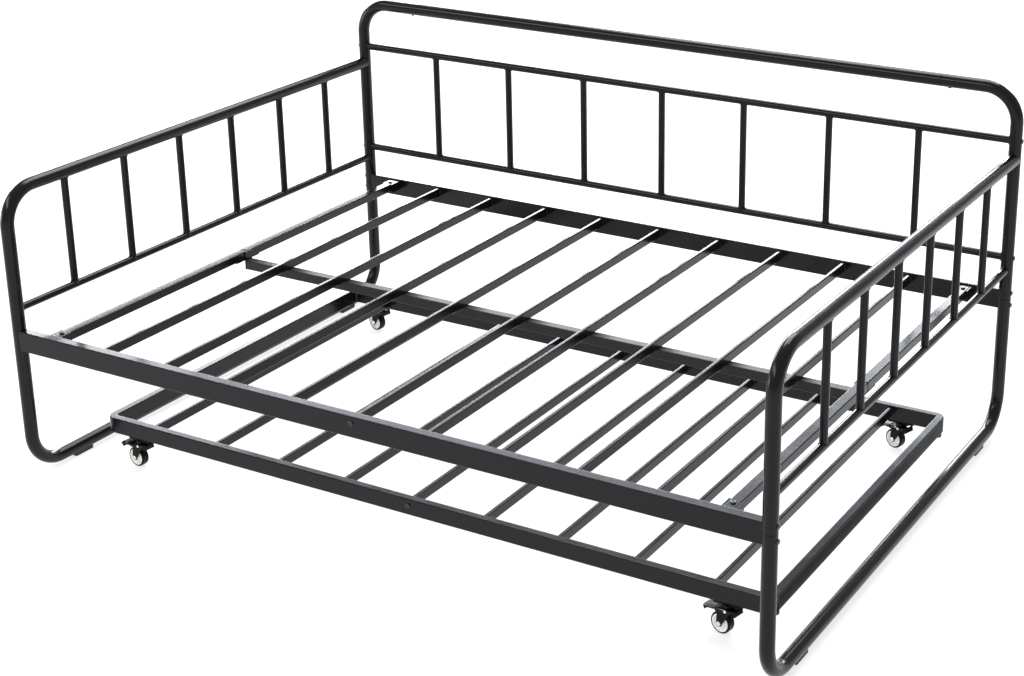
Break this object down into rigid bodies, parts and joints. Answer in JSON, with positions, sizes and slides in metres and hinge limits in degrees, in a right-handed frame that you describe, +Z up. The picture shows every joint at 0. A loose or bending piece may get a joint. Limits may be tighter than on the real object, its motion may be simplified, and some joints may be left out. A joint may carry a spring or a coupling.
{
  "type": "trundle bed",
  "caption": "Metal day bed with spindled back and arms and a slatted deck, and a slatted trundle frame on braked swivel casters that rolls out from under it.",
  "frame": {"origin": "on the floor under the middle of the bed frame", "axes": "+X to the right along the bed, +Y to its back, +Z up"},
  "size_m": [1.9884, 1.4152, 0.911],
  "materials": {
    "frame_paint": "satin powder coat",
    "black_bolts": "black oxide",
    "bare_steel": "drawn tube",
    "pad_plastic": "moulded",
    "caster_black": "gloss",
    "pedal_black": "gloss",
    "bright_zinc": "zinc plate",
    "hub_cream": "moulded",
    "tyre_black": "matt"
  },
  "bodies": {
    "bed_frame": {"leg_frame_left": "frame_paint", "arm_tube_left": "frame_paint", "arm_lower_rail_left": "frame_paint", "arm_spindles_left": "frame_paint", "back_post_left": "frame_paint", "end_beam_left_front": "frame_paint", "end_beam_left_rear": "frame_paint", "beam_bracket_left": "frame_paint", "leg_frame_right": "frame_paint", "arm_tube_right": "frame_paint", "arm_lower_rail_right": "frame_paint", "arm_spindles_right": "frame_paint", "back_post_right": "frame_paint", "end_beam_right_front": "frame_paint", "end_beam_right_rear": "frame_paint", "beam_bracket_right": "frame_paint", "foot_pads": "pad_plastic", "back_top_rail": "frame_paint", "back_upper_crossbar": "frame_paint", "back_lower_crossbar": "frame_paint", "back_spindles": "frame_paint", "tube_sleeves": "bare_steel", "front_rail": "frame_paint", "back_rail": "frame_paint", "deck_slats": "frame_paint", "centre_beam": "frame_paint", "frame_bolts": "black_bolts", "deck_bolts": "black_bolts", "sleeve_screws": "black_bolts"},
    "trundle": {"trundle_front_rail": "frame_paint", "trundle_back_rail": "frame_paint", "trundle_end_left": "frame_paint", "trundle_end_right": "frame_paint", "trundle_slats": "frame_paint", "trundle_bolts": "black_bolts", "trundle_corner_feet": "pad_plastic", "caster_plates": "caster_black", "caster_king_pins": "bright_zinc", "caster_plate_screws": "bright_zinc"},
    "caster_front_left": {"caster_fork_front_left": "caster_black", "caster_axle_front_left": "bright_zinc"},
    "wheel_front_left": {"wheel_hub_front_left": "hub_cream", "wheel_tyre_front_left": "tyre_black"},
    "pedal_front_left": {"brake_pedal_front_left": "pedal_black"},
    "caster_front_right": {"caster_fork_front_right": "caster_black", "caster_axle_front_right": "bright_zinc"},
    "wheel_front_right": {"wheel_hub_front_right": "hub_cream", "wheel_tyre_front_right": "tyre_black"},
    "pedal_front_right": {"brake_pedal_front_right": "pedal_black"},
    "caster_rear_left": {"caster_fork_rear_left": "caster_black", "caster_axle_rear_left": "bright_zinc"},
    "wheel_rear_left": {"wheel_hub_rear_left": "hub_cream", "wheel_tyre_rear_left": "tyre_black"},
    "pedal_rear_left": {"brake_pedal_rear_left": "pedal_black"},
    "caster_rear_right": {"caster_fork_rear_right": "caster_black", "caster_axle_rear_right": "bright_zinc"},
    "wheel_rear_right": {"wheel_hub_rear_right": "hub_cream", "wheel_tyre_rear_right": "tyre_black"},
    "pedal_rear_right": {"brake_pedal_rear_right": "pedal_black"}
  },
  "joints": [
    {"name": "trundle_slide", "type": "slide", "parent": "bed_frame", "child": "trundle", "axis": [0, -1, 0], "range_m": [-0.2, 1.2]},
    {"name": "swivel_front_left", "type": "hinge", "parent": "trundle", "child": "caster_front_left", "pos_m": [-0.7795, -0.528, 0.073], "axis": [0, 0, 1], "continuous": true},
    {"name": "wheel_spin_front_left", "type": "hinge", "parent": "caster_front_left", "child": "wheel_front_left", "pos_m": [-0.79544, -0.52661, 0.025], "axis": [0.0872, 0.9962, 0], "continuous": true},
    {"name": "brake_front_left", "type": "hinge", "parent": "caster_front_left", "child": "pedal_front_left", "pos_m": [-0.77751, -0.52817, 0.061], "axis": [0.0872, 0.9962, 0], "range_deg": [0, 12]},
    {"name": "swivel_front_right", "type": "hinge", "parent": "trundle", "child": "caster_front_right", "pos_m": [0.8135, -0.528, 0.073], "axis": [0, 0, 1], "continuous": true},
    {"name": "wheel_spin_front_right", "type": "hinge", "parent": "caster_front_right", "child": "wheel_front_right", "pos_m": [0.79785, -0.52467, 0.025], "axis": [0.2079, 0.9781, 0], "continuous": true},
    {"name": "brake_front_right", "type": "hinge", "parent": "caster_front_right", "child": "pedal_front_right", "pos_m": [0.81546, -0.52842, 0.061], "axis": [0.2079, 0.9781, 0], "range_deg": [0, 12]},
    {"name": "swivel_rear_left", "type": "hinge", "parent": "trundle", "child": "caster_rear_left", "pos_m": [-0.7875, 0.458, 0.073], "axis": [0, 0, 1], "continuous": true},
    {"name": "wheel_spin_rear_left", "type": "hinge", "parent": "caster_rear_left", "child": "wheel_rear_left", "pos_m": [-0.80321, 0.46105, 0.025], "axis": [0.1908, 0.9816, 0], "continuous": true},
    {"name": "brake_rear_left", "type": "hinge", "parent": "caster_rear_left", "child": "pedal_rear_left", "pos_m": [-0.78554, 0.45762, 0.061], "axis": [0.1908, 0.9816, 0], "range_deg": [0, 12]},
    {"name": "swivel_rear_right", "type": "hinge", "parent": "trundle", "child": "caster_rear_right", "pos_m": [0.8055, 0.458, 0.073], "axis": [0, 0, 1], "continuous": true},
    {"name": "wheel_spin_rear_right", "type": "hinge", "parent": "caster_rear_right", "child": "wheel_rear_right", "pos_m": [0.79028, 0.46294, 0.025], "axis": [0.309, 0.9511, 0], "continuous": true},
    {"name": "brake_rear_right", "type": "hinge", "parent": "caster_rear_right", "child": "pedal_rear_right", "pos_m": [0.8074, 0.45738, 0.061], "axis": [0.309, 0.9511, 0], "range_deg": [0, 12]}
  ]
}
